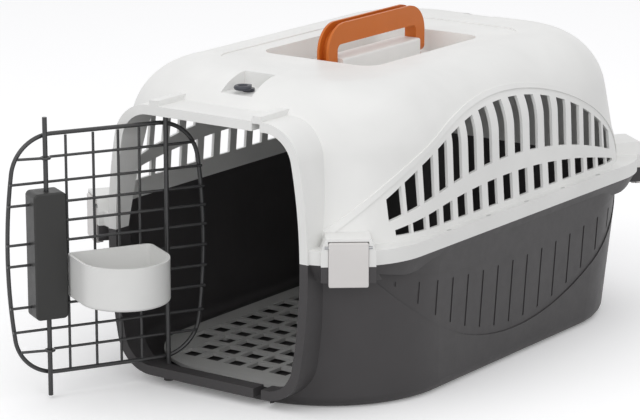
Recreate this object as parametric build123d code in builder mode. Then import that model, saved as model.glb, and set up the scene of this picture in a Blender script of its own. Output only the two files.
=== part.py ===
from build123d import *
import os
from math import sqrt

# Plastic pet carrier, millimetres. Z is up, the door end faces -Y, X runs across.
# The origin is the middle of the underside of the tub.

# Overall sizes
rim_length = 483.0
rim_width = 320.0
rim_corner = 76.0
parting_z = 128.6
cover_top = 260.5
joint_gap = 0.3
slip = 0.3

# Walls
cover_wall = 2.6
tub_wall = 2.8
flange_height = 12.0
band_height = 15.0

# Cover body: plan half sizes and corner radius at the parting line and at the top
cover_half_x = 153.5
cover_half_y = 236.0
cover_corner = 98.0
cover_draft = 10.0
cover_draft_y = 24.0
cover_corner_top = 105.0
shoulder = 60.0

# Tub body: the same at the parting line and at the floor
tub_half_x = 155.5
tub_half_y = 237.0
tub_corner = 106.0
tub_draft_x = 8.5
tub_draft_y = 7.0
tub_corner_floor = 112.0
tub_edge = 11.0

# Front opening and its raised lip
opening_half_mid = 94.5
opening_half_end = 81.5
opening_bottom = 16.2
opening_top = 231.0
opening_corner = 27.0
lip_width = 8.0
lip_front = rim_length / 2
lip_depth = 50.0

# Door wires, drawn closed; s runs from the hinge rod along the door
rod_x = 52.6
rod_y = -226.0
rod_r = 2.0
frame_r = 1.8
wire_r = 1.15
door_half_mid = 86.4
door_half_end = 76.5
door_bottom = 20.3
door_top = 221.5
door_corner = 36.0
door_shift = -1.6
rod_bottom = 2.6
rod_top = 236.7
wire_heights = [203.0, 182.4, 164.7, 148.6, 132.1, 114.4, 96.5, 78.9, 58.4, 41.1]
upright_at = [21.5, 40.0, 61.8, 85.6]
stub_heights = [164.7, 132.1, 114.4, 78.9]
guide_heights = [203.0, 41.1]
wire_tip = 1.6
door_open = 118.9
hole_slip = 0.35

# Rod pockets over and under the opening
pocket_width = 8.4
pocket_top = 243.5
boss_r = 4.2
boss_bottom = 1.6

# Latch housing on the door
housing_from = 91.2
housing_to = 119.2
housing_bottom = 69.5
housing_top = 175.5
housing_inner = 9.5
housing_outer = 12.0
housing_round = 4.0
grip_width = 12.0
grip_height = 15.0
grip_proud = 20.0
well_half = 27.0
well_proud = 18.5
well_wall = 4.0
spring_r = 3.0
spring_wire = 0.35
screw_r = 1.5
screw_head_r = 3.0
screw_side = 8.5
screw_inset = 9.0
wire_bite = 3.0

# Feed bowl, hung on a cross wire of the door
bowl_from = 14.0
bowl_to = 89.0
bowl_depth = 72.0
bowl_top = 121.5
bowl_height = 36.0
bowl_wall = 2.0
bowl_corner = 6.0
bowl_wire = 114.4
hook_at = [31.0, 51.0]
hook_width = 7.0
hook_thick = 1.8
hook_drop = 8.0

# Corner clips
clip_width = 32.0
clip_height = 36.6
clip_top = 148.6
clip_thick = 4.0
clip_proud = 3.5
clip_angle = 52.0
clip_hook = 3.2
pad_width = 44.0
pad_top = 151.4
pad_proud = 1.6
clip_pin_r = 1.2
clip_pin_drop = 4.1

# Carry handle and its recess
handle_length = 147.0
handle_y = -4.0
handle_thick = 12.0
handle_leg = 13.5
handle_bar = 18.0
handle_top = 286.5
handle_round = 24.0
handle_channel = 6.0
handle_web = 2.3
pivot_z = 249.0
pivot_r = 2.4
recess_half_x = 59.0
recess_half_y = 86.0
recess_floor = 240.5
recess_corner = 16.0
ridge_half_x = 11.0
ridge_top = 257.0
deck_half_x = 76.0
deck_half_y = 132.0
deck_step = 0.8

# Strap eyes on swivels
eye_y = 182.0
eye_pocket_x = 16.0
eye_pocket_near = 166.0
eye_pocket_far = 207.0
eye_floor = 247.5
eye_ring = 5.5
eye_wire = 2.0
eye_stem_r = 2.5
eye_reach = 8.0
collar_r = 5.0
collar_height = 2.4
washer_height = 3.0

# Side vents: two rows of slots under an arch
vent_y = -14.0
vent_arch_top = 230.0
vent_arch_r = 276.0
vent_band_top = 182.0
vent_band_bottom = 167.6
vent_band_r = 565.0
vent_lower_r = 750.0
vent_sill = 145.2
vent_mid_upper = -19.5
vent_mid_lower = -15.5
vent_pitch = 24.4
vent_bunch = 0.053
vent_count = 16
vent_slot_upper = 13.4
vent_slot_lower = 14.6
vent_slope = 0.04
vent_border = 9.5
vent_relief = 0.9

# Side relief of the tub
smile_depth = 1.0
smile_half = 202.0
smile_mid = 119.5
smile_top_sag = 22.0
smile_bottom_sag = 91.0
groove_width = 2.4
groove_depth = 0.8
groove_count = 16
groove_pitch = 23.5
groove_inset = 7.0

# Floor grate
grate_half_x = 122.0
grate_half_y = 204.0
grate_corner = 90.0
grate_thick = 3.0
grate_lift = 2.2
grate_pitch = 24.0
grate_bar = 6.0
foot_r = 4.0

os.makedirs("parts", exist_ok=True)


def save(part, name):
    part.label = name
    export_step(part, "parts/" + name + ".step")


def shell_body(half_x, half_y, corner, z_from, far_x, far_y, far_corner, z_to, edge):
    """Closed loaf between two rounded rectangles, with a round edge at its far end."""
    with BuildPart() as body:
        with BuildSketch(Plane.XY.offset(z_from)):
            RectangleRounded(2 * half_x, 2 * half_y, corner)
        with BuildSketch(Plane.XY.offset(z_to)):
            RectangleRounded(2 * far_x, 2 * far_y, far_corner)
        loft()
        end = body.faces().sort_by(Axis.Z)[-1 if z_to > z_from else 0]
        fillet(end.edges(), edge)
    return body.part


def barrel(half_mid, half_end, bottom, top, corner, grow=0.0):
    """Outline of the opening or the door: straight ends, bowed sides, round corners."""
    middle = (bottom + top) / 2
    with BuildSketch() as outline:
        with BuildLine():
            Line((-half_end, top), (half_end, top))
            ThreePointArc((half_end, top), (half_mid, middle), (half_end, bottom))
            Line((half_end, bottom), (-half_end, bottom))
            ThreePointArc((-half_end, bottom), (-half_mid, middle), (-half_end, top))
        make_face()
        fillet(outline.vertices(), corner)
        if grow:
            offset(amount=grow)
    return outline.sketch


def opening_outline(grow=0.0):
    return barrel(opening_half_mid, opening_half_end, opening_bottom, opening_top, opening_corner, grow)


def prism_y(sketch, y_from, y_to):
    """Extrude an outline drawn in X and Z from one Y to another."""
    with BuildPart() as solid:
        with BuildSketch(Plane.XZ.offset(-y_from)):
            add(sketch)
        extrude(amount=y_from - y_to)
    return solid.part


def block(x_from, x_to, y_from, y_to, z_from, z_to):
    with BuildPart() as solid:
        with Locations(((x_from + x_to) / 2, (y_from + y_to) / 2, (z_from + z_to) / 2)):
            Box(x_to - x_from, y_to - y_from, z_to - z_from)
    return solid.part


def rod(radius, start, end):
    """Round bar between two points."""
    along = Vector(*end) - Vector(*start)
    with BuildPart() as bar:
        with BuildSketch(Plane(origin=start, z_dir=along)):
            Circle(radius)
        extrude(amount=along.length)
    return bar.part


def rim_ring(half_x, half_y, corner, z_from, z_to, draft=0.0):
    with BuildPart() as ring:
        with BuildSketch(Plane.XY.offset(z_from)):
            RectangleRounded(2 * half_x, 2 * half_y, corner)
        extrude(amount=z_to - z_from, taper=draft)
    return ring.part


# The four corners of the rim, each as a turn about Z and the place of the corner's centre
corner_x = rim_width / 2 - rim_corner
corner_y = rim_length / 2 - rim_corner
corners = {
    "front_right": (-clip_angle, (corner_x, -corner_y)),
    "front_left": (180 + clip_angle, (-corner_x, -corner_y)),
    "rear_right": (clip_angle, (corner_x, corner_y)),
    "rear_left": (180 - clip_angle, (-corner_x, corner_y)),
}


def at_corner(shape, corner):
    """Place a shape drawn with its outward side along +X from the rim corner's centre."""
    turn, place = corners[corner]
    return Location((place[0], place[1], 0), (0, 0, turn)) * shape


# Clip pads, pockets and pins, drawn along +X
pad_face = rim_corner + pad_proud
pocket_half = clip_width / 2 + slip
clip_face = rim_corner + clip_proud
clip_back = clip_face - clip_thick
clip_bottom = clip_top - clip_height
clip_pin_x = clip_back + clip_thick / 2
clip_pin_z = clip_top - clip_pin_drop
ear_bottom = clip_bottom + clip_hook + joint_gap
pad_root = rim_corner - 24.0
pocket_swing_r = sqrt((clip_thick / 2) ** 2 + clip_pin_drop**2) + slip

with BuildPart() as cover_pad:
    with BuildSketch(Plane.YZ.offset(pad_root)):
        with BuildLine():
            Polyline(
                (-pad_width / 2, parting_z),
                (pad_width / 2, parting_z),
                (pad_width / 2, parting_z + flange_height),
                (pad_width / 2 - 4, pad_top),
                (-pad_width / 2 + 4, pad_top),
                (-pad_width / 2, parting_z + flange_height),
                close=True,
            )
        make_face()
    extrude(amount=pad_face - pad_root)

tub_pad = block(pad_root, pad_face, -pad_width / 2, pad_width / 2, ear_bottom, parting_z - joint_gap)

with BuildPart() as clip_pocket:
    add(block(clip_back - joint_gap, 2 * rim_corner, -pocket_half, pocket_half, 0, clip_top + joint_gap))
    add(rod(pocket_swing_r, (clip_pin_x, -pocket_half, clip_pin_z), (clip_pin_x, pocket_half, clip_pin_z)))

pin_reach = pad_width / 2 - 3.0
clip_pin = rod(clip_pin_r, (clip_pin_x, -pin_reach, clip_pin_z), (clip_pin_x, pin_reach, clip_pin_z))

# Slots for the latch rods: open to the front, so that the rods swing in with the door
keeper_from = rod_x - rod_r - 3.0
keeper_to = rod_x + rod_r + 0.8
keeper_back = rod_y + rod_r + hole_slip

# Top cover
cover_flange_top = parting_z + flange_height
cover_outer = shell_body(
    cover_half_x,
    cover_half_y,
    cover_corner,
    parting_z,
    cover_half_x - cover_draft,
    cover_half_y - cover_draft_y,
    cover_corner_top,
    cover_top,
    shoulder,
)
cover_inner = shell_body(
    cover_half_x - cover_wall,
    cover_half_y - cover_wall,
    cover_corner - cover_wall,
    parting_z,
    cover_half_x - cover_draft - cover_wall,
    cover_half_y - cover_draft_y - cover_wall,
    cover_corner_top - cover_wall,
    cover_top - cover_wall,
    shoulder - cover_wall,
)
lip = prism_y(opening_outline(lip_width), -lip_front, -lip_front + lip_depth)
opening_cut = prism_y(opening_outline(), -lip_front - 10, -lip_front + 90)
above_parting = block(-rim_width, rim_width, -rim_length, rim_length, parting_z, cover_top + 60)
below_parting = block(-rim_width, rim_width, -rim_length, rim_length, -60, parting_z - joint_gap)


def slot_outline(lower_edge, upper_edge, y_low, width, slope):
    """Slot between two heights that follow curves, leaning back as it rises."""
    points = []
    for side, edge in ((0, lower_edge), (width, lower_edge), (width, upper_edge), (0, upper_edge)):
        foot = lower_edge(y_low + side)
        y = y_low + side
        for _ in range(6):
            y = y_low + side + slope * (edge(y) - foot)
        points.append((y, edge(y)))
    return points


def arc_height(top, radius):
    return lambda y: top - radius + sqrt(max(radius**2 - (y - vent_y) ** 2, 0.0))


arch_edge = arc_height(vent_arch_top, vent_arch_r)
band_upper = arc_height(vent_band_top, vent_band_r)
band_lower = arc_height(vent_band_bottom, vent_lower_r)


def sill_edge(y):
    return vent_sill


def slot_place(index, middle):
    """Front edge of a slot; the slots stand closer together towards the ends."""
    step = index - (vent_count - 1) / 2
    return middle + step * (vent_pitch - vent_bunch * step**2)


with BuildPart() as vent_slots:
    with BuildSketch(Plane.YZ.offset(-rim_width)):
        for index in range(vent_count):
            upper_y = slot_place(index, vent_mid_upper)
            lower_y = slot_place(index, vent_mid_lower)
            with BuildLine():
                Polyline(*slot_outline(band_upper, arch_edge, upper_y, vent_slot_upper, vent_slope), close=True)
            make_face()
            with BuildLine():
                Polyline(*slot_outline(sill_edge, band_lower, lower_y, vent_slot_lower, 0.0), close=True)
            make_face()
    extrude(amount=2 * rim_width)

# Raised arch border around the vents: a thin skin between two arcs on each side wall
arch_foot = cover_flange_top + 1.0
border_r = vent_arch_r + vent_border
arch_mid = vent_arch_top - vent_arch_r
with BuildPart() as arch_band:
    with BuildSketch(Plane.YZ.offset(-rim_width)) as arch_face:
        with Locations((vent_y, arch_mid)):
            Circle(border_r)
            Circle(border_r - 4.0, mode=Mode.SUBTRACT)
        with Locations((vent_y, arch_foot - rim_length)):
            Rectangle(2 * rim_length, 2 * rim_length, mode=Mode.SUBTRACT)
    extrude(amount=2 * rim_width)
cover_skin = shell_body(
    cover_half_x + vent_relief,
    cover_half_y + vent_relief,
    cover_corner + vent_relief,
    parting_z,
    cover_half_x - cover_draft + vent_relief,
    cover_half_y - cover_draft_y + vent_relief,
    cover_corner_top + vent_relief,
    cover_top + vent_relief,
    shoulder + vent_relief,
)
with BuildPart() as arch_relief:
    add(cover_skin)
    add(arch_band.part, mode=Mode.INTERSECT)
    add(cover_inner, mode=Mode.SUBTRACT)

leg_end = handle_length / 2 - handle_leg
ridge_half_y = leg_end - 0.8
floor_wall = 2.5

with BuildPart() as recess_tray:
    with BuildSketch(Plane.XY.offset(recess_floor - floor_wall)):
        with Locations((0, handle_y)):
            RectangleRounded(
                2 * (recess_half_x + floor_wall), 2 * (recess_half_y + floor_wall), recess_corner + floor_wall
            )
    extrude(amount=cover_top - cover_wall / 2 - recess_floor + floor_wall)

with BuildPart() as recess_pocket:
    with BuildSketch(Plane.XY.offset(recess_floor)):
        with Locations((0, handle_y)):
            RectangleRounded(2 * recess_half_x, 2 * recess_half_y, recess_corner)
    extrude(amount=40)

with BuildPart() as ridge:
    add(block(-ridge_half_x, ridge_half_x, handle_y - ridge_half_y, handle_y + ridge_half_y,
              recess_floor - 1, ridge_top))
    fillet(ridge.edges().filter_by(Axis.Y).group_by(Axis.Z)[-1], 2.0)

with BuildPart() as deck_cut:
    with BuildSketch(Plane.XY.offset(cover_top - deck_step)):
        with Locations((0, handle_y)):
            RectangleRounded(2 * deck_half_x, 2 * deck_half_y, recess_corner + 8)
    extrude(amount=10)

eye_tray = block(-eye_pocket_x - floor_wall, eye_pocket_x + floor_wall, eye_pocket_near - floor_wall,
                 eye_pocket_far, eye_floor - floor_wall, cover_top)
eye_cut = block(-eye_pocket_x, eye_pocket_x, eye_pocket_near, rim_length, eye_floor, cover_top + 20)
with BuildPart() as eye_tray_trim:
    add(eye_tray)
    add(cover_outer, mode=Mode.INTERSECT)

with BuildPart() as flange_channel:
    add(rim_ring(rim_width / 2 - cover_wall, rim_length / 2 - cover_wall, rim_corner - cover_wall,
                 parting_z - 1, cover_flange_top - cover_wall))
    add(rim_ring(cover_half_x, cover_half_y, cover_corner, parting_z - 2, cover_flange_top), mode=Mode.SUBTRACT)
    add(lip, mode=Mode.SUBTRACT)
    for corner in corners:
        add(at_corner(cover_pad.part, corner), mode=Mode.SUBTRACT)

with BuildPart() as top_cover:
    add(cover_outer)
    add(rim_ring(rim_width / 2, rim_length / 2, rim_corner, parting_z, cover_flange_top))
    for corner in corners:
        add(at_corner(cover_pad.part, corner))
    add(lip)
    add(below_parting, mode=Mode.SUBTRACT)
    add(block(-rim_width, rim_width, -rim_length, rim_length, parting_z - joint_gap, parting_z),
        mode=Mode.SUBTRACT)
    add(cover_inner, mode=Mode.SUBTRACT)
    for side in (-1, 1):
        tab_x = side * rod_x
        add(block(tab_x - pocket_width / 2, tab_x + pocket_width / 2, -lip_front,
                  -lip_front + lip_depth, opening_top + 2, pocket_top))
    add(recess_tray.part)
    add(eye_tray_trim.part)
    add(mirror(eye_tray_trim.part, about=Plane.XZ, mode=Mode.PRIVATE))
    add(arch_relief.part)
    add(deck_cut.part, mode=Mode.SUBTRACT)
    add(recess_pocket.part, mode=Mode.SUBTRACT)
    add(eye_cut, mode=Mode.SUBTRACT)
    add(mirror(eye_cut, about=Plane.XZ, mode=Mode.PRIVATE), mode=Mode.SUBTRACT)
    add(ridge.part)
    add(flange_channel.part, mode=Mode.SUBTRACT)
    add(opening_cut, mode=Mode.SUBTRACT)
    add(vent_slots.part, mode=Mode.SUBTRACT)
    for corner in corners:
        add(at_corner(clip_pocket.part, corner), mode=Mode.SUBTRACT)
        add(at_corner(clip_pin, corner), mode=Mode.SUBTRACT)
    for side in (-1, 1):
        add(rod(eye_stem_r + slip, (0, side * eye_y, recess_floor - 10), (0, side * eye_y, eye_floor + 1)),
            mode=Mode.SUBTRACT)
    pin_far = ridge_half_y + handle_leg - 2.0
    pin_near = ridge_half_y - 12.0
    for side in (-1, 1):
        add(rod(pivot_r, (0, handle_y + side * pin_near, pivot_z), (0, handle_y + side * pin_far, pivot_z)),
            mode=Mode.SUBTRACT)
    add(rod(rod_r + hole_slip, (-rod_x, rod_y, opening_top - 2), (-rod_x, rod_y, rod_top + 1)),
        mode=Mode.SUBTRACT)
    add(block(keeper_from, keeper_to, -lip_front - 5, keeper_back, opening_top - 2, rod_top + 0.6),
        mode=Mode.SUBTRACT)
save(top_cover.part, "top_cover")

# Base tub
tub_outer = shell_body(
    tub_half_x, tub_half_y, tub_corner, parting_z - joint_gap,
    tub_half_x - tub_draft_x, tub_half_y - tub_draft_y, tub_corner_floor, 0, tub_edge,
)
tub_inner = shell_body(
    tub_half_x - tub_wall, tub_half_y - tub_wall, tub_corner - tub_wall, parting_z - joint_gap,
    tub_half_x - tub_draft_x - tub_wall, tub_half_y - tub_draft_y - tub_wall, tub_corner_floor - tub_wall,
    tub_wall, tub_edge - tub_wall,
)


def tub_core(inset):
    """The tub's body drawn in by an amount."""
    return shell_body(
        tub_half_x - inset, tub_half_y - inset, tub_corner - inset, parting_z - joint_gap,
        tub_half_x - tub_draft_x - inset, tub_half_y - tub_draft_y - inset,
        tub_corner_floor - inset, inset, tub_edge - inset,
    )


with BuildPart() as tub_tongue:
    tongue_in = cover_wall + 2 * slip
    add(rim_ring(rim_width / 2 - tongue_in, rim_length / 2 - tongue_in, rim_corner - tongue_in,
                 parting_z - joint_gap, parting_z + 6))
    tongue_off = tongue_in + 1.8
    add(rim_ring(rim_width / 2 - tongue_off, rim_length / 2 - tongue_off, rim_corner - tongue_off,
                 parting_z - 2, parting_z + 7), mode=Mode.SUBTRACT)
    add(rim_ring(cover_half_x + slip, cover_half_y + slip, cover_corner, parting_z - 2, parting_z + 7),
        mode=Mode.SUBTRACT)
    add(prism_y(opening_outline(lip_width + slip), -lip_front - 5, -lip_front + lip_depth + 1),
        mode=Mode.SUBTRACT)
    for corner in corners:
        add(at_corner(block(pad_root, 2 * rim_corner, -pad_width / 2 - slip, pad_width / 2 + slip,
                            parting_z - 2, parting_z + 10), corner), mode=Mode.SUBTRACT)


def smile_outline(inset):
    """Crescent between two arcs on the tub's side, drawn in by an amount."""
    with BuildSketch() as outline:
        with BuildLine():
            ThreePointArc((-smile_half, smile_mid), (0, smile_mid - smile_top_sag), (smile_half, smile_mid))
            ThreePointArc((smile_half, smile_mid), (0, smile_mid - smile_bottom_sag),
                          (-smile_half, smile_mid))
        make_face()
        if inset:
            offset(amount=-inset)
    return outline.sketch


with BuildPart() as smile_cut:
    with BuildSketch(Plane.YZ.offset(-rim_width)):
        add(smile_outline(0))
    extrude(amount=2 * rim_width)
    add(tub_core(smile_depth), mode=Mode.SUBTRACT)

with BuildPart() as groove_cut:
    with BuildSketch(Plane.YZ.offset(-rim_width)):
        with GridLocations(groove_pitch, 1, groove_count, 1):
            Rectangle(groove_width, 4 * smile_mid)
        add(smile_outline(groove_inset), mode=Mode.INTERSECT)
    extrude(amount=2 * rim_width)
    add(tub_core(smile_depth + groove_depth), mode=Mode.SUBTRACT)

with BuildPart() as tub_body:
    add(tub_outer)
    add(rim_ring(rim_width / 2 - 1, rim_length / 2 - 1, rim_corner - 1, parting_z - joint_gap,
                 parting_z - band_height, 28))
    for corner in corners:
        add(at_corner(tub_pad, corner))
    add(lip)
    for side in (-1, 1):
        add(rod(boss_r, (side * rod_x, rod_y, boss_bottom), (side * rod_x, rod_y, opening_bottom - 1)))
    add(above_parting, mode=Mode.SUBTRACT)
    add(block(-rim_width, rim_width, -rim_length, rim_length, parting_z - joint_gap, parting_z),
        mode=Mode.SUBTRACT)
    add(smile_cut.part, mode=Mode.SUBTRACT)
    add(groove_cut.part, mode=Mode.SUBTRACT)
    add(tub_inner, mode=Mode.SUBTRACT)
    add(tub_tongue.part)
    add(opening_cut, mode=Mode.SUBTRACT)
    for corner in corners:
        add(at_corner(clip_pocket.part, corner), mode=Mode.SUBTRACT)
    add(rod(rod_r + hole_slip, (-rod_x, rod_y, -5), (-rod_x, rod_y, opening_bottom + 2)),
        mode=Mode.SUBTRACT)
    add(block(keeper_from, keeper_to, -lip_front - 5, keeper_back, -5, opening_bottom + 2),
        mode=Mode.SUBTRACT)
save(tub_body.part, "base_tub")

# Floor grate, on feet that stand on the tub's floor
with BuildPart() as floor_grate:
    with BuildSketch(Plane.XY.offset(tub_wall + grate_lift)):
        RectangleRounded(2 * grate_half_x, 2 * grate_half_y, grate_corner)
    extrude(amount=grate_thick)
    hole = grate_pitch - grate_bar
    hole_places = []
    for column in range(-4, 5):
        for row in range(-8, 9):
            reach_x = abs(column) * grate_pitch + hole / 2 + grate_bar
            reach_y = abs(row) * grate_pitch + hole / 2 + grate_bar
            over_x = max(reach_x - (grate_half_x - grate_corner), 0)
            over_y = max(reach_y - (grate_half_y - grate_corner), 0)
            if over_x**2 + over_y**2 < grate_corner**2:
                hole_places.append((column * grate_pitch, row * grate_pitch, tub_wall + grate_lift))
    with Locations(*hole_places):
        Box(hole, hole, 4 * grate_thick, mode=Mode.SUBTRACT)
    foot_x = grate_pitch * 3.5
    foot_y = grate_pitch * 4.5
    for x in (-foot_x, foot_x):
        for y in (-foot_y, grate_pitch / 2, foot_y):
            with Locations((x, y, tub_wall + grate_lift / 2)):
                Cylinder(foot_r, grate_lift)
save(floor_grate.part, "floor_grate")

# Corner clips and their pins
with BuildPart() as clip:
    add(block(clip_back, clip_face, -clip_width / 2, clip_width / 2, clip_bottom, clip_top))
    fillet(clip.edges().filter_by(Axis.X), 1.6)
    fillet(clip.faces().sort_by(Axis.X)[-1].edges(), 0.8)
    add(block(clip_back - 3.4, clip_back + 1, -clip_width / 2 + 2, clip_width / 2 - 2,
              clip_bottom + 0.2, clip_bottom + clip_hook))
    add(rod(clip_pin_r + slip, (clip_pin_x, -clip_width, clip_pin_z), (clip_pin_x, clip_width, clip_pin_z)),
        mode=Mode.SUBTRACT)
for corner in corners:
    save(at_corner(clip.part, corner), "clip_" + corner)
with BuildPart() as clip_pins:
    for corner in corners:
        add(at_corner(clip_pin, corner))
save(clip_pins.part, "clip_pins")

# Carry handle: a bail with a channelled outer edge
half_thick = handle_thick / 2
handle_half = handle_length / 2
with BuildPart() as carry_handle:
    with BuildSketch(Plane.YZ.offset(-half_thick)) as bail:
        with Locations((handle_y, (handle_top + pivot_z - half_thick) / 2)):
            Rectangle(handle_length, handle_top - pivot_z + half_thick)
        fillet(bail.vertices().group_by(Axis.Y)[-1], handle_round)
        with Locations((handle_y, (handle_top - handle_bar + pivot_z - 40) / 2)):
            Rectangle(2 * leg_end, handle_top - handle_bar - pivot_z + 40, mode=Mode.SUBTRACT)
    extrude(amount=handle_thick)
    fillet(carry_handle.edges().filter_by(Axis.X).group_by(Axis.Z)[-2], 5.0)
    with BuildSketch(Plane.YZ.offset(-half_thick + handle_web)) as channel:
        with Locations((handle_y, (handle_top + pivot_z + 8) / 2)):
            Rectangle(handle_length + 2, handle_top - pivot_z - 8 + 2)
        with Locations((handle_y, (handle_top - handle_channel + pivot_z - 40) / 2)):
            RectangleRounded(handle_length - 2 * handle_channel, handle_top - handle_channel - pivot_z + 40,
                             handle_round - handle_channel, mode=Mode.SUBTRACT)
    extrude(amount=handle_thick - 2 * handle_web, mode=Mode.SUBTRACT)
    with BuildSketch(Plane.XZ.offset(handle_length)) as foot_profile:
        with Locations((0, pivot_z)):
            Circle(half_thick)
        with Locations((0, pivot_z + 50)):
            Rectangle(handle_thick, 100)
    extrude(amount=-3 * handle_length, mode=Mode.INTERSECT)
    add(rod(pivot_r + slip, (0, handle_y - handle_half - 1, pivot_z), (0, handle_y + handle_half + 1, pivot_z)),
        mode=Mode.SUBTRACT)
save(carry_handle.part, "carry_handle")

with BuildPart() as handle_pins:
    for side in (-1, 1):
        add(rod(pivot_r, (0, handle_y + side * pin_near, pivot_z), (0, handle_y + side * pin_far, pivot_z)))
save(handle_pins.part, "handle_pins")


# Strap eyes, each with a stem through the cover and a washer that holds it below
def strap_eye(side):
    with BuildPart() as eye:
        ring_z = eye_floor + slip + collar_height + eye_wire
        with Locations((0, side * (eye_y + eye_reach), ring_z)):
            Torus(eye_ring, eye_wire)
        with Locations((0, side * eye_y, eye_floor + slip + collar_height / 2)):
            Cylinder(collar_r, collar_height)
        add(rod(eye_stem_r, (0, side * eye_y, eye_floor - floor_wall - washer_height - slip),
                (0, side * eye_y, ring_z + eye_wire / 2)))
    return eye.part


def strap_washer(side):
    top = eye_floor - floor_wall - slip
    with BuildPart() as washer:
        with Locations((0, side * eye_y, top - washer_height / 2)):
            Cylinder(collar_r, washer_height)
            Cylinder(eye_stem_r, washer_height, mode=Mode.SUBTRACT)
    return washer.part


for name, side in (("front", -1), ("rear", 1)):
    save(strap_eye(side), "strap_eye_" + name)
    save(strap_washer(side), "strap_washer_" + name)


# Door, drawn closed and then turned open about the hinge rod
hinge_axis = Axis((-rod_x, rod_y, 0), (0, 0, 1))


def opened(part):
    return part.rotate(hinge_axis, -door_open)


def along(s):
    """X of a point on the closed door at a distance from the hinge rod."""
    return s - rod_x


wire_y = rod_y - rod_r - wire_r
upright_y = wire_y - 2 * wire_r
door_y = wire_y - wire_r - frame_r


def corner_drop(past):
    """How far a round corner has drawn in at a distance past the corner's start."""
    return door_corner - sqrt(max(door_corner**2 - max(past, 0) ** 2, 0))


def door_half(z):
    """Half width of the door frame's centre line at a height."""
    rise = (door_top - door_bottom) / 2
    bulge = door_half_mid - door_half_end
    radius = (rise**2 + bulge**2) / (2 * bulge)
    off_middle = abs(z - (door_top + door_bottom) / 2)
    half = door_half_mid - radius + sqrt(radius**2 - off_middle**2)
    return half - corner_drop(off_middle - (rise - door_corner))


def upright_end(x, end):
    """Height where an upright wire meets the inside of the frame's straight end."""
    rise = corner_drop(abs(x - door_shift) - (door_half_end - door_corner))
    if end == "top":
        return door_top - rise - frame_r - joint_gap
    return door_bottom + rise + frame_r + joint_gap


with BuildPart() as door_frame:
    outline = barrel(door_half_mid, door_half_end, door_bottom, door_top, door_corner)
    with BuildSketch(Plane.XZ.offset(-door_y)):
        with Locations((door_shift, 0)):
            add(outline)
    ring_edges = door_frame.pending_faces[0].outer_wire()
    door_frame.pending_faces.clear()
    start = ring_edges.edges().sort_by(Axis.Z)[-1]
    with BuildSketch(Plane(origin=start @ 0.5, z_dir=start % 0.5)):
        Circle(frame_r)
    sweep(path=ring_edges)
save(opened(door_frame.part), "door_frame_wire")


guide_ring = rod_r + hole_slip + wire_r


def cross_spans(z):
    """Stretches of a cross wire, from the hinge side to the latch side."""
    left = rod_x + door_shift - door_half(z) - wire_tip
    right = rod_x + door_shift + door_half(z) + wire_tip
    if z in guide_heights:
        return [(left, 2 * rod_x - guide_ring - wire_r - joint_gap)]
    if housing_bottom < z < housing_top:
        spans = [(left, housing_from + wire_bite)]
        if z in stub_heights:
            spans.append((housing_to - wire_bite, right))
        return spans
    return [(left, right)]


cross_bars = [
    rod(wire_r, (along(span[0]), wire_y, z), (along(span[1]), wire_y, z))
    for z in wire_heights
    for span in cross_spans(z)
]
with BuildPart() as cross_wires:
    for bar in cross_bars:
        add(bar)
save(opened(cross_wires.part), "door_cross_wires")

upright_bars = [
    rod(wire_r, (along(s), upright_y, upright_end(along(s), "bottom")),
        (along(s), upright_y, upright_end(along(s), "top")))
    for s in upright_at
]
with BuildPart() as upright_wires:
    for bar in upright_bars:
        add(bar)
save(opened(upright_wires.part), "door_upright_wires")

hinge_rod = rod(rod_r, (-rod_x, rod_y, rod_bottom), (-rod_x, rod_y, rod_top))
save(opened(hinge_rod), "hinge_rod")

# Wire loops that guide the latch rods on the door
with BuildPart() as rod_guides:
    for z in guide_heights:
        with Locations((rod_x, rod_y, z)):
            Torus(guide_ring, wire_r)
        add(rod(wire_r, (rod_x + guide_ring, rod_y, z),
                (door_shift + door_half(z) + wire_tip, wire_y, z)))
save(opened(rod_guides.part), "rod_guide_loops")

# Latch housing: inner and outer halves that meet on the plane of the cross wires
housing_mid_z = (housing_bottom + housing_top) / 2
split_y = wire_y
grip_half = grip_width / 2
grip_back = rod_y + rod_r + 1.0
well_bottom = housing_mid_z - well_half
well_top = housing_mid_z + well_half
grip_front = rod_y - grip_proud
cavity_half = grip_half + slip + 0.2
cavity_bottom = well_bottom - slip
cavity_top = well_top + slip


def housing_half(y_from, y_to):
    with BuildPart() as half:
        add(block(along(housing_from), along(housing_to), y_from, y_to, housing_bottom, housing_top))
        fillet(half.edges().filter_by(Axis.Y), housing_round)
        far = half.faces().sort_by(Axis.Y)[-1 if y_to > split_y else 0]
        chamfer(far.edges(), 1.2)
    return half.part


def housing_cuts():
    with BuildPart() as cuts:
        add(rod(rod_r + hole_slip, (rod_x, rod_y, housing_bottom - 1), (rod_x, rod_y, housing_top + 1)))
        add(block(rod_x - cavity_half, rod_x + cavity_half, grip_front - 10, grip_back + 0.5,
                  cavity_bottom, cavity_top))
        for z in wire_heights:
            for span in cross_spans(z):
                add(rod(wire_r + 0.1, (along(span[0]) - 0.1, wire_y, z), (along(span[1]) + 0.1, wire_y, z)))
    return cuts.part


screw_spots = [
    (rod_x + side * screw_side, z)
    for side in (-1, 1)
    for z in (housing_bottom + screw_inset, housing_top - screw_inset)
]
outer_face = rod_y - housing_outer
screw_tip = rod_y + housing_inner - 3.0
cuts = housing_cuts()
screw_shanks = [rod(screw_r, (x, outer_face, z), (x, screw_tip, z)) for x, z in screw_spots]
screw_heads = [rod(screw_head_r, (x, outer_face, z), (x, outer_face + 2.0, z)) for x, z in screw_spots]

with BuildPart() as housing_inner_part:
    add(housing_half(split_y, rod_y + housing_inner))
    add(cuts, mode=Mode.SUBTRACT)
    for shank in screw_shanks:
        add(shank, mode=Mode.SUBTRACT)
save(opened(housing_inner_part.part), "latch_housing_inner")

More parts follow.
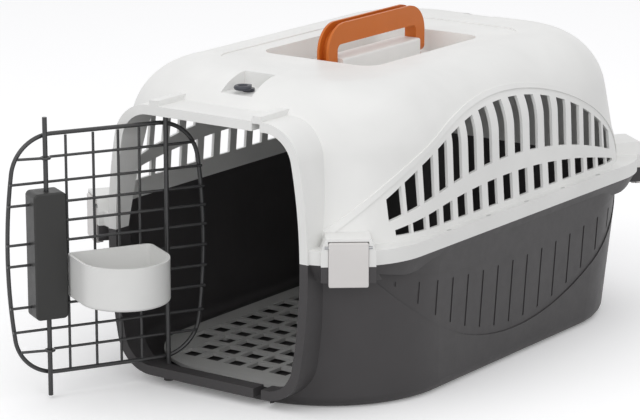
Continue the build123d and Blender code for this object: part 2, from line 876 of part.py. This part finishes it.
with BuildPart() as housing_outer_part:
    add(housing_half(outer_face, split_y - 0.05))
    add(block(rod_x - grip_half - well_wall, rod_x + grip_half + well_wall, rod_y - well_proud,
              outer_face + 2, well_bottom - well_wall, well_top + well_wall))
    add(cuts, mode=Mode.SUBTRACT)
    for shank, head in zip(screw_shanks, screw_heads):
        add(shank, mode=Mode.SUBTRACT)
        add(head, mode=Mode.SUBTRACT)
save(opened(housing_outer_part.part), "latch_housing_outer")

with BuildPart() as housing_screws:
    for shank, head in zip(screw_shanks, screw_heads):
        add(shank)
        add(head)
save(opened(housing_screws.part), "housing_screws")

# Latch rods with their finger grips; the upper pair draws down, the lower pair draws up
grip_top_to = well_top - slip
grip_low_from = well_bottom + slip
spring_from = grip_low_from + grip_height
spring_to = grip_top_to - grip_height


def finger_grip(z_from, z_to, rod_from, rod_to):
    with BuildPart() as grip:
        add(block(rod_x - grip_half, rod_x + grip_half, grip_front, grip_back, z_from, z_to))
        fillet(grip.edges().filter_by(Axis.X).group_by(Axis.Y)[0], 1.5)
        add(rod(rod_r, (rod_x, rod_y, rod_from), (rod_x, rod_y, rod_to)), mode=Mode.SUBTRACT)
    return grip.part


rod_grip_bite = 10.0
save(opened(rod(rod_r, (rod_x, rod_y, grip_top_to - rod_grip_bite), (rod_x, rod_y, rod_top))),
     "latch_rod_upper")
save(opened(rod(rod_r, (rod_x, rod_y, rod_bottom), (rod_x, rod_y, grip_low_from + rod_grip_bite))),
     "latch_rod_lower")
save(opened(finger_grip(spring_to, grip_top_to, grip_top_to - rod_grip_bite, rod_top)), "latch_grip_upper")
save(opened(finger_grip(grip_low_from, spring_from, rod_bottom, grip_low_from + rod_grip_bite)),
     "latch_grip_lower")

# Spring between the grips
with BuildPart() as latch_spring:
    spring_run = spring_to - spring_from - 2 * spring_wire
    with BuildLine(Plane.XY.offset(spring_from + spring_wire).move(Location((rod_x, rod_y, 0)))) as coil:
        Helix(pitch=spring_run / 6, height=spring_run, radius=spring_r)
    with BuildSketch(Plane(origin=coil.line @ 0, z_dir=coil.line % 0)):
        Circle(spring_wire)
    sweep(path=coil.line, is_frenet=True)
save(opened(latch_spring.part), "latch_spring")

# Feed bowl with two hooks over a cross wire
bowl_back = wire_y + wire_r + 0.4
bowl_mid = along((bowl_from + bowl_to) / 2)
bowl_half = (bowl_to - bowl_from) / 2
bowl_bottom = bowl_top - bowl_height


def bowl_outline(inset):
    """D shape in plan: straight back and sides, then a round front."""
    half = bowl_half - inset
    straight = bowl_depth - bowl_half
    with BuildSketch() as outline:
        with BuildLine():
            Line((-half, inset), (half, inset))
            Line((half, inset), (half, straight))
            ThreePointArc((half, straight), (0, straight + half), (-half, straight))
            Line((-half, straight), (-half, inset))
        make_face()
        fillet(outline.vertices().group_by(Axis.Y)[0], max(bowl_corner - inset, 1.0))
    return outline.sketch


with BuildPart() as feed_bowl:
    with BuildSketch(Plane.XY.offset(bowl_bottom).move(Location((bowl_mid, bowl_back, 0)))):
        add(bowl_outline(0))
    extrude(amount=bowl_height)
    fillet(feed_bowl.faces().sort_by(Axis.Z)[0].edges(), 2.5)
    with BuildSketch(Plane.XY.offset(bowl_bottom + bowl_wall).move(Location((bowl_mid, bowl_back, 0)))):
        add(bowl_outline(bowl_wall))
    extrude(amount=bowl_height, mode=Mode.SUBTRACT)
    hook_back = upright_y - wire_r - 0.6
    hook_top = bowl_wire + wire_r + joint_gap + hook_thick
    for s in hook_at:
        x = along(s)
        add(block(x - hook_width / 2, x + hook_width / 2, hook_back, bowl_back + bowl_wall,
                  hook_top - hook_thick, hook_top))
        add(block(x - hook_width / 2, x + hook_width / 2, hook_back, hook_back + hook_thick,
                  hook_top - hook_drop, hook_top))
save(opened(feed_bowl.part), "feed_bowl")
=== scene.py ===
"""Looks of a plastic pet carrier.

Materials for its moulded shells, coated wires and steel, and its small repeated details:
weld beads, grip ribs, screw heads and ejector marks.
"""
import math

import bmesh
import bpy
from mathutils import Matrix, Vector


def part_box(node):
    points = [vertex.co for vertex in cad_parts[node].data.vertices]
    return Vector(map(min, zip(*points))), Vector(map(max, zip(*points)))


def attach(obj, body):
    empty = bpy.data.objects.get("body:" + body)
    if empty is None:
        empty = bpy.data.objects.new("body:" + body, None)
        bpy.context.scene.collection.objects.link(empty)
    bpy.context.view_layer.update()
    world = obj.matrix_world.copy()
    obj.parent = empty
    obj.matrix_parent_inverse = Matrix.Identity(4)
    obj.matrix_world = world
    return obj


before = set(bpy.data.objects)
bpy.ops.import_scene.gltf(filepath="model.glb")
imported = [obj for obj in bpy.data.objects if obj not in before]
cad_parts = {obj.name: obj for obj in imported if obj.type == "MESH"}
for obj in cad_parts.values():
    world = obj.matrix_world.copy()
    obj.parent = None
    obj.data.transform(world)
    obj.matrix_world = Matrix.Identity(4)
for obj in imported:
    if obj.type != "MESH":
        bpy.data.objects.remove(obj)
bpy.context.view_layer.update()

bl_info = {
    "name": "Pet carrier",
    "version": (1, 0, 0),
    "blender": (4, 5, 0),
    "location": "View3D > Sidebar > Carrier",
    "description": "Finishes and small details of a plastic pet carrier",
    "category": "Object",
}

MM = 0.001
WHITE = (1.0, 1.0, 1.0, 1.0)

# The opened door: its hinge's axis in metres, and its turn from the shut door.
HINGE = Vector((-0.0526, -0.226, 0.0))
DOOR_TURN = math.radians(-118.9)

# Wires of the door, in mm as door_place takes them.
WIRE_HEIGHTS = (203.0, 182.4, 164.7, 148.6, 132.1, 114.4, 96.5, 78.9, 58.4, 41.1)
UPRIGHTS = (21.5, 40.0, 61.8, 85.6)
CROSSING_OFF = -4.3  # where a cross wire lies on an upright
HINGE_ROD_OFF = -2.2  # where a cross wire lies on the hinge rod

# The latch, in mm as door_place takes them.
LATCH_AXIS = 105.2
HOUSING_FACE = -12.0
SCREW_SIDES = (-8.5, 8.5)  # from the latch's axis
SCREW_HEIGHTS = (78.5, 166.5)
GRIP_FACE = -20.0
GRIP_END = 2.0  # left without ribs at each end of a grip
RIB_HALF_LENGTH = 4.2

# Ejector marks, in metres: on top of the cover's flange, in a row on each long side.
MARK_SIDE = 0.1572
MARK_HEIGHT = 0.1406
MARK_RADIUS = 1.6 * MM
MARK_STEPS = range(-2, 3)
# Painted shade: the marks take the cover's colour darkened by this factor, standing in for the
# shade that falls in small dimples.
MARK_PAINTED_SHADE = 0.66

# Size of the fine grain that the mould leaves on the plastic.
MOULD_GRAIN = 0.7 * MM

# How much the copies of a scattered shape differ in size.
JITTER = {"Min": 0.92, "Max": 1.08}

# The stage: half the floor's side and where the lamps point, in metres.
FLOOR_REACH = 6.0
LAMP_AIM = Vector((0, 0, 0.12))
LAMPS = (
    # name, place (m), size (m), power (W)
    ("key", (-0.5, -2.0, 1.9), 1.6, 13.0),
    ("fill", (2.0, -1.9, 1.1), 1.8, 15.0),
    ("top", (0.1, 0.5, 2.4), 2.0, 7.0),
)

# The camera: its axes, and its place in mm along them (right, up, back) from an origin above
# the floor.
CAMERA_RIGHT = Vector((0.8131, 0.5821, 0.0))
CAMERA_BACK = Vector((0.5647, -0.7887, 0.2430))
CAMERA_PLACE = (-47.537, 103.354, 2554.114)
CAMERA_ORIGIN = Vector((0, 0, 3.5))
CAMERA_LENS = 161.12
CAMERA_SENSOR = 36.0


def hex_linear(code):
    """An sRGB hex colour as the linear red, green and blue that a shader takes."""
    parts = [int(code[i:i + 2], 16) / 255 for i in (1, 3, 5)]
    return [c / 12.92 if c <= 0.04045 else ((c + 0.055) / 1.055) ** 2.4 for c in parts]


def colour_property(name, description, code):
    return bpy.props.FloatVectorProperty(
        name=name, description=description, subtype="COLOR", size=3, min=0, max=1,
        default=hex_linear(code))


class CarrierColours(bpy.types.PropertyGroup):
    cover: colour_property("Cover", "Colour of the top cover", "#E9E9E7")
    tub: colour_property("Tub", "Colour of the base tub", "#413F40")
    clip: colour_property("Clips", "Colour of the corner clips", "#DAD7D5")
    handle: colour_property("Handle", "Colour of the carry handle", "#C86A22")
    wire: colour_property("Wires", "Colour of the coated wires of the door", "#2A2A2B")
    latch: colour_property("Latch", "Colour of the latch housing and its grips", "#313130")
    bowl: colour_property("Bowl", "Colour of the feed bowl", "#E3E3E1")
    grate: colour_property("Grate", "Colour of the floor grate", "#B9B9B7")
    eye: colour_property("Strap eyes", "Colour of the strap eyes", "#3F4148")
    steel: colour_property("Steel", "Colour of the spring, pins and screws", "#999A9C")


class CarrierSizes(bpy.types.PropertyGroup):
    bead: bpy.props.FloatProperty(
        name="Weld bead", description="Radius of the weld where two wires cross",
        unit="LENGTH", default=1.35 * MM, min=0.5 * MM, max=3 * MM)
    rib_height: bpy.props.FloatProperty(
        name="Grip rib", description="Radius of the ribs on the finger grips",
        unit="LENGTH", default=0.5 * MM, min=0.2 * MM, max=1 * MM)
    rib_pitch: bpy.props.FloatProperty(
        name="Rib pitch", description="Distance between the ribs on the finger grips",
        unit="LENGTH", default=2.4 * MM, min=1 * MM, max=5 * MM)
    screw_r: bpy.props.FloatProperty(
        name="Screw head", description="Radius of the screw heads on the latch housing",
        unit="LENGTH", default=2.7 * MM, min=1 * MM, max=4 * MM)
    mark_pitch: bpy.props.FloatProperty(
        name="Rim mark pitch", description="Distance between the ejector marks on the cover's rim",
        unit="LENGTH", default=60 * MM, min=20 * MM, max=120 * MM)


def add_node(tree, kind, inputs=None, **settings):
    """Add a node, set its settings, and set or link its inputs."""
    node = tree.nodes.new(kind)
    for name, value in settings.items():
        setattr(node, name, value)
    for key, value in (inputs or {}).items():
        if isinstance(value, bpy.types.NodeSocket):
            tree.links.new(value, node.inputs[key])
        else:
            node.inputs[key].default_value = value
    return node


def tone(colour, factor, lift=0.0):
    """A linear colour made darker or lighter, with its alpha."""
    return [min(c * factor + lift, 1.0) for c in colour] + [1.0]


def colour_mix(tree, factor, low, high):
    """The colour between two, each a constant or a socket, at a factor socket."""
    node = add_node(tree, "ShaderNodeMix", {"Factor": factor, 6: low, 7: high}, data_type="RGBA")
    return node.outputs[2]


def noise(tree, coords, grain, **inputs):
    """Noise with a grain of about this size in metres."""
    node = add_node(tree, "ShaderNodeTexNoise", {"Vector": coords, "Scale": 1 / grain, **inputs})
    return node.outputs["Fac"]


def spread(tree, value, source, target):
    """A value mapped from one range to another."""
    node = add_node(tree, "ShaderNodeMapRange", {
        "Value": value, "From Min": source[0], "From Max": source[1],
        "To Min": target[0], "To Max": target[1]})
    return node.outputs["Result"]


def combine(tree, operation, first, second):
    """Two values put together by a math operation."""
    node = add_node(tree, "ShaderNodeMath", {0: first, 1: second}, operation=operation)
    return node.outputs["Value"]


def bump(tree, height, strength, depth):
    """The normal of a relief of this depth in metres."""
    node = add_node(tree, "ShaderNodeBump", {
        "Height": height, "Strength": strength, "Distance": depth})
    return node.outputs["Normal"]


def new_material(name):
    """An empty material and its tree."""
    material = bpy.data.materials.new(name)
    material.use_nodes = True
    material.node_tree.nodes.clear()
    return material, material.node_tree


def object_coords(tree):
    return add_node(tree, "ShaderNodeTexCoord").outputs["Object"]


def finish_material(tree, inputs):
    """End a material with a principled surface."""
    surface = add_node(tree, "ShaderNodeBsdfPrincipled", inputs)
    add_node(tree, "ShaderNodeOutputMaterial", {"Surface": surface.outputs["BSDF"]})


def moulded_plastic(name, colour, roughness, grain=0.12, mottle=0.05, edge=0.10):
    """Injection-moulded plastic.

    The mould's fine texture (grain) breaks up its highlights, wide flow marks (mottle) vary its
    colour, and scuffs vary its gloss and rub its edges lighter (edge).
    """
    material, tree = new_material(name)
    coords = object_coords(tree)
    flow = noise(tree, coords, 70 * MM, Detail=3.0, Distortion=0.6)
    fine = noise(tree, coords, MOULD_GRAIN, Detail=3.0)
    cells = add_node(tree, "ShaderNodeTexVoronoi", {"Vector": coords, "Scale": 0.7 / MOULD_GRAIN},
                     feature="SMOOTH_F1")
    scuff = noise(tree, coords, 11 * MM, Detail=6.0, Roughness=0.7)
    edges = add_node(tree, "ShaderNodeAmbientOcclusion", {"Distance": 1.4 * MM},
                     samples=6, inside=True)
    worn = spread(tree, edges.outputs["AO"], (0.75, 0.35), (0.0, edge))
    body = colour_mix(tree, flow, tone(colour, 1 - 2.2 * mottle), tone(colour, 1 + mottle, 0.004))
    rubbed = tone(colour, 1.5, 0.03)
    relief = combine(tree, "ADD", fine, cells.outputs["Distance"])
    finish_material(tree, {
        "Base Color": colour_mix(tree, combine(tree, "MULTIPLY", worn, scuff), body, rubbed),
        "Roughness": spread(tree, scuff, (0.3, 0.7), (roughness - 0.05, roughness + 0.06)),
        "Normal": bump(tree, relief, grain, 0.12 * MM),
        "Specular IOR Level": 0.35,
        "IOR": 1.49,
    })
    return material


def coated_wire(name, colour):
    """Powder coat over steel wire: semi-gloss, with fine orange peel and a little dust."""
    material, tree = new_material(name)
    coords = object_coords(tree)
    peel = noise(tree, coords, 0.55 * MM, Detail=2.0)
    rub = noise(tree, coords, 8 * MM, Detail=5.0, Roughness=0.65)
    finish_material(tree, {
        "Base Color": colour_mix(tree, rub, tone(colour, 0.8), tone(colour, 1.5, 0.004)),
        "Roughness": spread(tree, rub, (0.3, 0.7), (0.34, 0.48)),
        "Normal": bump(tree, peel, 0.18, 0.06 * MM),
        "Coat Weight": 0.25,
        "Coat Roughness": 0.2,
    })
    return material


def drawn_steel(name, colour):
    """Steel drawn to wire: bright, with faint streaks along Z."""
    material, tree = new_material(name)
    coords = object_coords(tree)
    across = 1 / (0.4 * MM)
    stretch = add_node(tree, "ShaderNodeMapping", {
        "Vector": coords, "Scale": (across, across, across / 16)})
    streak = noise(tree, stretch.outputs["Vector"], 1.0, Detail=4.0)
    finish_material(tree, {
        "Base Color": tone(colour, 1.0),
        "Metallic": 1.0,
        "Roughness": spread(tree, streak, (0.0, 1.0), (0.22, 0.42)),
        "Normal": bump(tree, streak, 0.2, 0.03 * MM),
    })
    return material


def finish_nodes(names, material):
    """Give CAD nodes a material in place of their own."""
    for name in names:
        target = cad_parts[name]
        if not target.material_slots:
            target.data.materials.append(material)
        for place in target.material_slots:
            place.material = material


def door_place(along, off, height):
    """A point on the opened door, from mm.

    along runs from the hinge rod to the latch, and off is across the door: less than zero on
    the side that faces outwards when it is shut.
    """
    turned = Matrix.Rotation(DOOR_TURN, 3, "Z") @ Vector((along * MM, off * MM, 0.0))
    return HINGE + turned + Vector((0, 0, height * MM))


def link_object(name, data):
    obj = bpy.data.objects.new(name, data)
    bpy.context.scene.collection.objects.link(obj)
    return obj


def points_object(name, places):
    """An object whose mesh is loose points."""
    mesh = bpy.data.meshes.new(name)
    mesh.from_pydata([tuple(p) for p in places], [], [])
    return link_object(name, mesh)


def scatter_tree(name, shape, material, inputs):
    """A tree that puts a shape on each point of a mesh, turned by its input Turn.

    inputs gives the shape's own inputs with their socket types. shape(tree, given) adds the
    shape's nodes, links them to the outputs of given, and returns its mesh socket.
    """
    tree = bpy.data.node_groups.new(name, "GeometryNodeTree")
    sockets = {"Geometry": "NodeSocketGeometry", **inputs, "Turn": "NodeSocketRotation"}
    for label, kind in sockets.items():
        tree.interface.new_socket(label, in_out="INPUT", socket_type=kind)
    tree.interface.new_socket("Geometry", in_out="OUTPUT", socket_type="NodeSocketGeometry")
    given = tree.nodes.new("NodeGroupInput")
    jitter = add_node(tree, "FunctionNodeRandomValue", {"Seed": 7}, data_type="FLOAT")
    for socket in jitter.inputs:
        if socket.type == "VALUE" and socket.name in JITTER:
            socket.default_value = JITTER[socket.name]
    placed = add_node(tree, "GeometryNodeInstanceOnPoints", {
        "Points": given.outputs["Geometry"], "Instance": shape(tree, given),
        "Rotation": given.outputs["Turn"]})
    size = next(s for s in jitter.outputs if s.type == "VALUE" and s.enabled)
    tree.links.new(size, placed.inputs["Scale"])
    real = add_node(tree, "GeometryNodeRealizeInstances", {
        "Geometry": placed.outputs["Instances"]})
    smooth = add_node(tree, "GeometryNodeSetShadeSmooth", {0: real.outputs["Geometry"]})
    dressed = add_node(tree, "GeometryNodeSetMaterial", {
        "Geometry": smooth.outputs[0], "Material": material})
    add_node(tree, "NodeGroupOutput", {"Geometry": dressed.outputs["Geometry"]})
    return tree


def run_tree(obj, tree, values):
    """Run a tree on an object, and keep its result as a plain mesh."""
    modifier = obj.modifiers.new("build", "NODES")
    modifier.node_group = tree
    for item in tree.interface.items_tree:
        if item.item_type == "SOCKET" and item.in_out == "INPUT" and item.name in values:
            modifier[item.identifier] = values[item.name]
    obj.update_tag()
    bpy.context.view_layer.update()
    graph = bpy.context.evaluated_depsgraph_get()
    mesh = bpy.data.meshes.new_from_object(obj.evaluated_get(graph))
    obj.modifiers.remove(modifier)
    obj.data = mesh
    return obj


def flattened_ball(tree, given, segments, rings, scale):
    """A ball of the tree's radius, scaled along its axes."""
    ball = add_node(tree, "GeometryNodeMeshUVSphere", {
        "Segments": segments, "Rings": rings, "Radius": given.outputs["Radius"]})
    shaped = add_node(tree, "GeometryNodeTransform", {
        "Geometry": ball.outputs["Mesh"], "Scale": scale})
    return shaped.outputs["Geometry"]


def bead_shape(tree, given):
    """A weld bead: a low lump, longest along the cross wire."""
    return flattened_ball(tree, given, 14, 8, (1.25, 0.75, 1.05))


def mark_shape(tree, given):
    """An ejector mark: a thin oval, long along the rim."""
    return flattened_ball(tree, given, 20, 10, (0.9, 2.1, 0.16))


def rib_shape(tree, given):
    """A round rib, from one end of its reach to the other."""
    line = add_node(tree, "GeometryNodeCurvePrimitiveLine")
    start = add_node(tree, "ShaderNodeVectorMath", {
        0: given.outputs["Reach"], "Scale": -1.0}, operation="SCALE")
    tree.links.new(start.outputs["Vector"], line.inputs["Start"])
    tree.links.new(given.outputs["Reach"], line.inputs["End"])
    ring = add_node(tree, "GeometryNodeCurvePrimitiveCircle", {"Resolution": 12})
    tree.links.new(given.outputs["Radius"], ring.inputs["Radius"])
    bar = add_node(tree, "GeometryNodeCurveToMesh", {
        "Curve": line.outputs["Curve"], "Profile Curve": ring.outputs["Curve"],
        "Fill Caps": True})
    return bar.outputs["Mesh"]


def head_shape(tree, given):
    """A copy of the object that the tree is given."""
    info = add_node(tree, "GeometryNodeObjectInfo", {"Object": given.outputs["Head"]})
    return info.outputs["Geometry"]


def cross_recess_head(name, radius, material):
    """Low round screw head with a cross recess, its face towards +Z."""
    rings, spokes = 12, 48
    dome, recess, skirt = 0.55 * MM, 0.75 * MM, 0.4 * MM
    slot_half, slot_reach = 0.16 * radius, 0.62 * radius
    bm = bmesh.new()
    rows = []
    for ring in range(rings + 1):
        r = radius * ring / rings
        row = []
        for spoke in range(spokes if ring else 1):
            a = 2 * math.pi * spoke / spokes
            x, y = r * math.cos(a), r * math.sin(a)
            z = dome * (1 - (ring / rings) ** 4)
            if min(abs(x), abs(y)) < slot_half and max(abs(x), abs(y)) < slot_reach:
                z -= recess
            row.append(bm.verts.new((x, y, z)))
        rows.append(row)
    rows.append([bm.verts.new((v.co.x, v.co.y, -skirt)) for v in rows[rings]])
    for spoke in range(spokes):
        after = (spoke + 1) % spokes
        bm.faces.new((rows[0][0], rows[1][spoke], rows[1][after]))
        for inner, outer in zip(rows[1:], rows[2:]):
            bm.faces.new((inner[spoke], outer[spoke], outer[after], inner[after]))
    bm.faces.new(list(reversed(rows[-1])))
    bmesh.ops.recalc_face_normals(bm, faces=bm.faces)
    mesh = bpy.data.meshes.new(name)
    bm.to_mesh(mesh)
    bm.free()
    mesh.materials.append(material)
    return mesh


class CARRIER_OT_shell(bpy.types.Operator):
    """Finish the cover, tub, clips, floor grate, bowl, strap eyes and their pins"""
    bl_idname = "carrier.shell"
    bl_label = "Shells"

    def execute(self, context):
        colours = context.scene.carrier_colours
        finish_nodes(["top_cover"], moulded_plastic("polypropylene_white", colours.cover, 0.42))
        finish_nodes(["base_tub"], moulded_plastic(
            "polypropylene_grey", colours.tub, 0.46, mottle=0.07, edge=0.22))
        finish_nodes(["floor_grate"], moulded_plastic("polypropylene_grate", colours.grate, 0.5))
        clips = ["clip_front_right", "clip_front_left", "clip_rear_right", "clip_rear_left"]
        finish_nodes(clips, moulded_plastic("polypropylene_clip", colours.clip, 0.38, grain=0.06))
        finish_nodes(["feed_bowl"], moulded_plastic(
            "polypropylene_bowl", colours.bowl, 0.36, grain=0.05))
        eyes = ["strap_eye_front", "strap_eye_rear", "strap_washer_front", "strap_washer_rear"]
        finish_nodes(eyes, moulded_plastic("nylon_slate", colours.eye, 0.34, grain=0.05))
        steel = ["clip_pins", "handle_pins", "housing_screws", "latch_spring"]
        finish_nodes(steel, drawn_steel("steel_drawn", colours.steel))
        return {"FINISHED"}


class CARRIER_OT_handle(bpy.types.Operator):
    """Finish the carry handle"""
    bl_idname = "carrier.handle"
    bl_label = "Handle"

    def execute(self, context):
        colours = context.scene.carrier_colours
        finish_nodes(["carry_handle"], moulded_plastic(
            "polypropylene_orange", colours.handle, 0.4, grain=0.07))
        return {"FINISHED"}


class CARRIER_OT_door(bpy.types.Operator):
    """Finish the wires and the latch of the door"""
    bl_idname = "carrier.door"
    bl_label = "Door"

    def execute(self, context):
        colours = context.scene.carrier_colours
        wires = ["door_frame_wire", "door_cross_wires", "door_upright_wires", "hinge_rod",
                 "rod_guide_loops", "latch_rod_upper", "latch_rod_lower"]
        finish_nodes(wires, coated_wire("powder_coat_black", colours.wire))
        latch = ["latch_housing_inner", "latch_housing_outer", "latch_grip_upper",
                 "latch_grip_lower"]
        finish_nodes(latch, moulded_plastic(
            "abs_black", colours.latch, 0.42, grain=0.1, mottle=0.08, edge=0.3))
        return {"FINISHED"}


class CARRIER_OT_welds(bpy.types.Operator):
    """Weld beads where the wires of the door cross"""
    bl_idname = "carrier.welds"
    bl_label = "Weld beads"

    def execute(self, context):
        sizes = context.scene.carrier_sizes
        places = []
        for height in WIRE_HEIGHTS:
            places.extend(door_place(along, CROSSING_OFF, height) for along in UPRIGHTS)
            places.append(door_place(0.0, HINGE_ROD_OFF, height))
        tree = scatter_tree("weld_beads", bead_shape, bpy.data.materials["powder_coat_black"],
                            {"Radius": "NodeSocketFloat"})
        beads = run_tree(points_object("door_weld_beads", places), tree,
                         {"Radius": sizes.bead, "Turn": (0.0, 0.0, DOOR_TURN)})
        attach(beads, "door")
        return {"FINISHED"}


class CARRIER_OT_grips(bpy.types.Operator):
    """Ribs on the finger grips of the latch"""
    bl_idname = "carrier.grips"
    bl_label = "Grip ribs"

    def execute(self, context):
        sizes = context.scene.carrier_sizes
        reach = Matrix.Rotation(DOOR_TURN, 3, "Z") @ Vector((RIB_HALF_LENGTH * MM, 0, 0))
        tree = scatter_tree("grip_ribs", rib_shape, bpy.data.materials["abs_black"],
                            {"Radius": "NodeSocketFloat", "Reach": "NodeSocketVector"})
        values = {"Radius": sizes.rib_height, "Reach": tuple(reach), "Turn": (0.0, 0.0, 0.0)}
        grips = {"latch_upper": "latch_grip_upper", "latch_lower": "latch_grip_lower"}
        for body, node in grips.items():
            low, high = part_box(node)
            count = int((high.z - low.z - 2 * GRIP_END * MM) / sizes.rib_pitch)
            middle = (low.z + high.z) / 2
            heights = [middle + (i - (count - 1) / 2) * sizes.rib_pitch for i in range(count)]
            places = [door_place(LATCH_AXIS, GRIP_FACE, height / MM) for height in heights]
            ribs = run_tree(points_object(node + "_ribs", places), tree, values)
            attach(ribs, body)
        return {"FINISHED"}


class CARRIER_OT_screws(bpy.types.Operator):
    """Heads of the screws that close the latch housing"""
    bl_idname = "carrier.screws"
    bl_label = "Screw heads"

    def execute(self, context):
        sizes = context.scene.carrier_sizes
        steel = bpy.data.materials["steel_drawn"]
        source = link_object("screw_head_source",
                             cross_recess_head("screw_head", sizes.screw_r, steel))
        tree = scatter_tree("screw_heads", head_shape, steel, {"Head": "NodeSocketObject"})
        places = [door_place(LATCH_AXIS + side, HOUSING_FACE, height)
                  for side in SCREW_SIDES for height in SCREW_HEIGHTS]
        heads = run_tree(points_object("housing_screw_heads", places), tree,
                         {"Head": source, "Turn": (math.radians(90), 0.0, DOOR_TURN)})
        bpy.data.objects.remove(source)
        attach(heads, "door")
        return {"FINISHED"}


class CARRIER_OT_marks(bpy.types.Operator):
    """Small ejector marks along the flange of the cover, coloured darker than it as painted shade
    """
    bl_idname = "carrier.marks"
    bl_label = "Rim marks"

    def execute(self, context):
        colours, sizes = context.scene.carrier_colours, context.scene.carrier_sizes
        places = [Vector((side * MARK_SIDE, step * sizes.mark_pitch, MARK_HEIGHT))
                  for side in (-1, 1) for step in MARK_STEPS]
        # Painted shade: the marks are a darker copy of the cover's colour, standing in for the
        # shade that falls in their dimples.
        mark_painted_shade = [c * MARK_PAINTED_SHADE for c in colours.cover]
        tree = scatter_tree("rim_marks", mark_shape,
                            moulded_plastic("polypropylene_mark_painted_shade", mark_painted_shade, 0.5),
                            {"Radius": "NodeSocketFloat"})
        marks = run_tree(points_object("rim_marks", places), tree,
                         {"Radius": MARK_RADIUS, "Turn": (0.0, 0.0, 0.0)})
        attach(marks, "shell")
        return {"FINISHED"}


def camera_ray_colour(tree, seen, lights):
    """A colour that the camera, mirrors and glass see, and another one that lights the object."""
    path = add_node(tree, "ShaderNodeLightPath").outputs
    seen_by = combine(tree, "MAXIMUM", path["Is Camera Ray"], path["Is Glossy Ray"])
    seen_by = combine(tree, "MAXIMUM", seen_by, path["Is Transmission Ray"])
    return colour_mix(tree, seen_by, lights, seen)


def stage_material():
    """Matt floor that the camera sees a little lighter than the lamps make it."""
    material, tree = new_material("stage_floor")
    colour = camera_ray_colour(tree, WHITE, (0.55, 0.55, 0.55, 1.0))
    lift = camera_ray_colour(tree, (0.12, 0.12, 0.12, 1.0), (0.0, 0.0, 0.0, 1.0))
    matt = add_node(tree, "ShaderNodeBsdfDiffuse", {"Color": colour})
    glow = add_node(tree, "ShaderNodeEmission", {"Color": lift, "Strength": 1.0})
    surface = add_node(tree, "ShaderNodeAddShader", {
        0: matt.outputs["BSDF"], 1: glow.outputs["Emission"]})
    add_node(tree, "ShaderNodeOutputMaterial", {"Surface": surface.outputs["Shader"]})
    return material


class CARRIER_OT_stage(bpy.types.Operator):
    """Floor, background, lamps and camera"""
    bl_idname = "carrier.stage"
    bl_label = "Stage"

    def execute(self, context):
        scene = context.scene
        scene.view_settings.view_transform = "Standard"

        mesh = bpy.data.meshes.new("floor")
        corners = ((-1, -1), (1, -1), (1, 1), (-1, 1))
        mesh.from_pydata([(x * FLOOR_REACH, y * FLOOR_REACH, 0) for x, y in corners],
                         [], [(0, 1, 2, 3)])
        mesh.materials.append(stage_material())
        floor = link_object("floor", mesh)

        world = bpy.data.worlds.new("studio")
        scene.world = world
        world.use_nodes = True
        world.node_tree.nodes.clear()
        sky = camera_ray_colour(world.node_tree, WHITE, (0.72, 0.72, 0.73, 1.0))
        glow = add_node(world.node_tree, "ShaderNodeBackground", {"Color": sky, "Strength": 1.0})
        add_node(world.node_tree, "ShaderNodeOutputWorld", {
            "Surface": glow.outputs["Background"]})

        for name, place, size, watts in LAMPS:
            data = bpy.data.lights.new(name, "AREA")
            data.size = size
            data.energy = watts
            aim = (LAMP_AIM - Vector(place)).to_track_quat("-Z", "Y").to_matrix().to_4x4()
            link_object(name, data).matrix_world = Matrix.Translation(place) @ aim

        right, back = CAMERA_RIGHT.normalized(), CAMERA_BACK.normalized()
        up = back.cross(right)
        across, rise, away = CAMERA_PLACE
        place = (right * across + up * rise + back * away + CAMERA_ORIGIN) * MM
        data = bpy.data.cameras.new("camera")
        data.sensor_width = CAMERA_SENSOR
        data.sensor_fit = "HORIZONTAL"
        data.lens = CAMERA_LENS
        camera = link_object("camera", data)
        turn = Matrix((right, up, back)).transposed().to_4x4()
        camera.matrix_world = Matrix.Translation(place) @ turn
        scene.camera = camera
        return {"FINISHED"}


class CARRIER_PT_panel(bpy.types.Panel):
    """Steps and values of the carrier's looks"""
    bl_idname = "CARRIER_PT_panel"
    bl_label = "Carrier"
    bl_space_type = "VIEW_3D"
    bl_region_type = "UI"
    bl_category = "Carrier"

    def draw(self, context):
        for group in (context.scene.carrier_colours, context.scene.carrier_sizes):
            for name in group.__annotations__:
                self.layout.prop(group, name)
        for step in STEPS:
            self.layout.operator(step.bl_idname)


STEPS = (CARRIER_OT_shell, CARRIER_OT_handle, CARRIER_OT_door, CARRIER_OT_welds,
         CARRIER_OT_grips, CARRIER_OT_screws, CARRIER_OT_marks, CARRIER_OT_stage)
CLASSES = (CarrierColours, CarrierSizes, *STEPS, CARRIER_PT_panel)


def register():
    for item in CLASSES:
        bpy.utils.register_class(item)
    bpy.types.Scene.carrier_colours = bpy.props.PointerProperty(type=CarrierColours)
    bpy.types.Scene.carrier_sizes = bpy.props.PointerProperty(type=CarrierSizes)


def unregister():
    del bpy.types.Scene.carrier_sizes
    del bpy.types.Scene.carrier_colours
    for item in reversed(CLASSES):
        bpy.utils.unregister_class(item)


def main():
    register()
    bpy.ops.carrier.shell()
    bpy.ops.carrier.handle()
    bpy.ops.carrier.door()
    bpy.ops.carrier.welds()
    bpy.ops.carrier.grips()
    bpy.ops.carrier.screws()
    bpy.ops.carrier.marks()
    bpy.ops.carrier.stage()
    bpy.context.view_layer.update()


if __name__ == "__main__":
    main()
